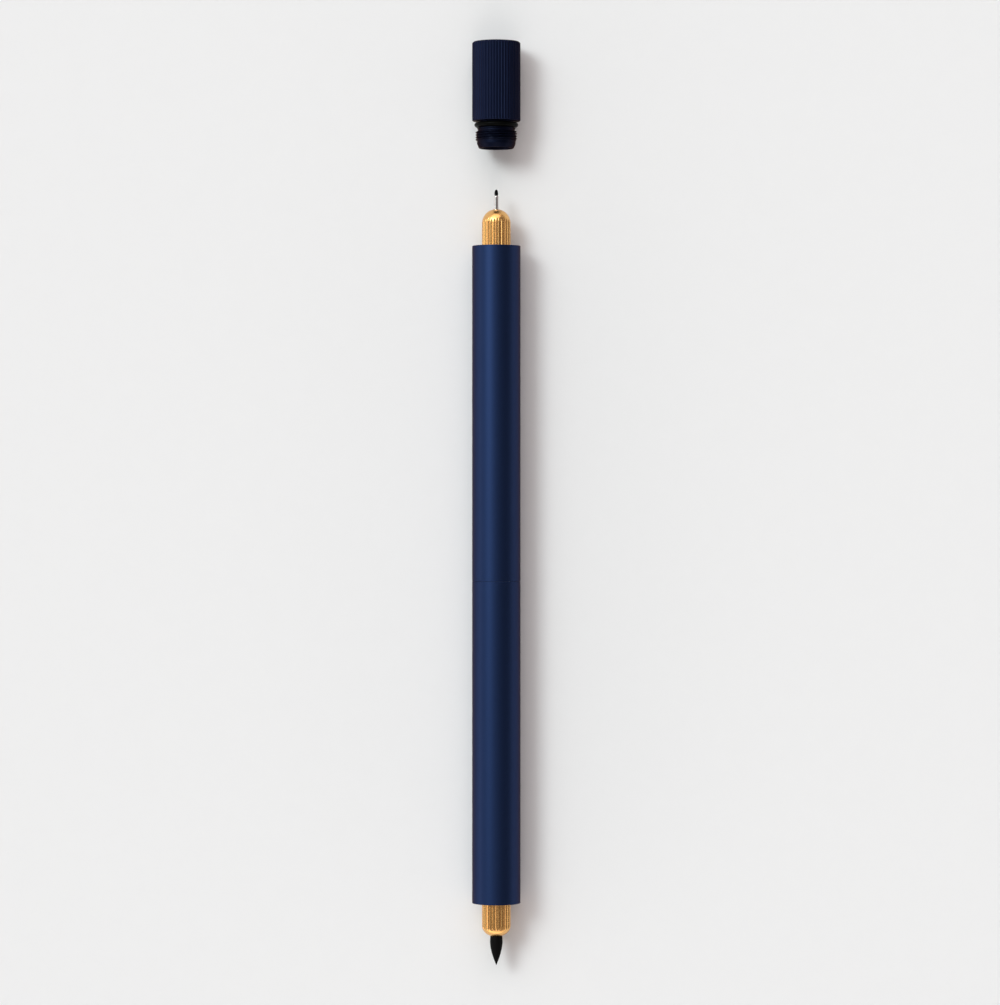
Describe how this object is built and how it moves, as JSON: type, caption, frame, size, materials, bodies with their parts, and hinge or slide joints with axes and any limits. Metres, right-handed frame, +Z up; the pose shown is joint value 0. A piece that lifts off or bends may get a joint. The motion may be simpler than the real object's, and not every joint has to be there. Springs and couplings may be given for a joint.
{
  "type": "double-ended fineliner pen",
  "caption": "Slim metal pen with a fineliner nib at one end, a brush nib at the other, fluted brass nib holders and a fluted screw cap that lies off the fineliner end.",
  "frame": {"origin": "on the table, under the middle of the whole length, cap included", "axes": "+Y along the pen from the brush to the fineliner and its cap, +Z up from the table, +X to the right of the picture"},
  "size_m": [0.01, 0.1912, 0.01],
  "materials": {
    "anodised": "satin navy anodised",
    "brass": "polished",
    "steel": "bright drawn",
    "aluminium": "turned, bare",
    "rubber": "matte black",
    "nib": "bonded fibre, ink-stained black",
    "plastic": "moulded, natural white",
    "ink_core": "ink-soaked fibre"
  },
  "bodies": {
    "brush_barrel": {"brush_barrel": "anodised", "brush_seat_ring": "aluminium", "brush_cartridge": "plastic", "brush_ink_core": "ink_core", "brush_cartridge_plug": "plastic", "barrel_joiner": "aluminium"},
    "joiner_o_ring": {"joiner_o_ring": "rubber"},
    "fineliner_barrel": {"fineliner_barrel": "anodised", "fineliner_seat_ring": "aluminium", "fineliner_cartridge": "plastic", "fineliner_ink_core": "ink_core", "fineliner_cartridge_plug": "plastic"},
    "fineliner_holder_o_ring": {"fineliner_holder_o_ring": "rubber"},
    "fineliner_holder": {"fineliner_holder": "brass", "fineliner_nib_carrier": "plastic", "fineliner_sleeve": "steel", "fineliner_nib": "nib"},
    "brush_holder_o_ring": {"brush_holder_o_ring": "rubber"},
    "brush_holder": {"brush_holder": "brass", "brush_nib_carrier": "plastic", "brush_nib": "nib"},
    "cap_o_ring": {"cap_o_ring": "rubber"},
    "cap": {"cap_shell": "anodised"}
  },
  "joints": [
    {"name": "barrel_unscrew", "type": "hinge", "parent": "brush_barrel", "child": "joiner_o_ring", "pos_m": [0, -0.01608, 0.005], "axis": [0, 1, 0], "range_deg": [0, 2160]},
    {"name": "barrel_travel", "type": "slide", "parent": "joiner_o_ring", "child": "fineliner_barrel", "axis": [0, 1, 0], "range_m": [0, 0.003]},
    {"name": "fineliner_travel", "type": "slide", "parent": "fineliner_barrel", "child": "fineliner_holder_o_ring", "axis": [0, 1, 0], "range_m": [0, 0.0032]},
    {"name": "fineliner_unscrew", "type": "hinge", "parent": "fineliner_holder_o_ring", "child": "fineliner_holder", "pos_m": [0, 0.0467, 0.005], "axis": [0, 1, 0], "range_deg": [0, 1440]},
    {"name": "brush_travel", "type": "slide", "parent": "brush_barrel", "child": "brush_holder_o_ring", "axis": [0, -1, 0], "range_m": [0, 0.0032]},
    {"name": "brush_unscrew", "type": "hinge", "parent": "brush_holder_o_ring", "child": "brush_holder", "pos_m": [0, -0.0765, 0.005], "axis": [0, -1, 0], "range_deg": [0, 1440]},
    {"name": "cap_travel", "type": "slide", "parent": "fineliner_barrel", "child": "cap_o_ring", "axis": [0, 1, 0], "range_m": [-0.0258, 0]},
    {"name": "cap_turn", "type": "hinge", "parent": "cap_o_ring", "child": "cap", "pos_m": [0, 0.0791, 0.005], "axis": [0, 1, 0], "continuous": true}
  ],
  "couplings": [
    {"joint": "barrel_unscrew", "follows": "barrel_travel", "rad_per_m": 12566},
    {"joint": "fineliner_unscrew", "follows": "fineliner_travel", "rad_per_m": 7854},
    {"joint": "brush_unscrew", "follows": "brush_travel", "rad_per_m": 7854}
  ]
}
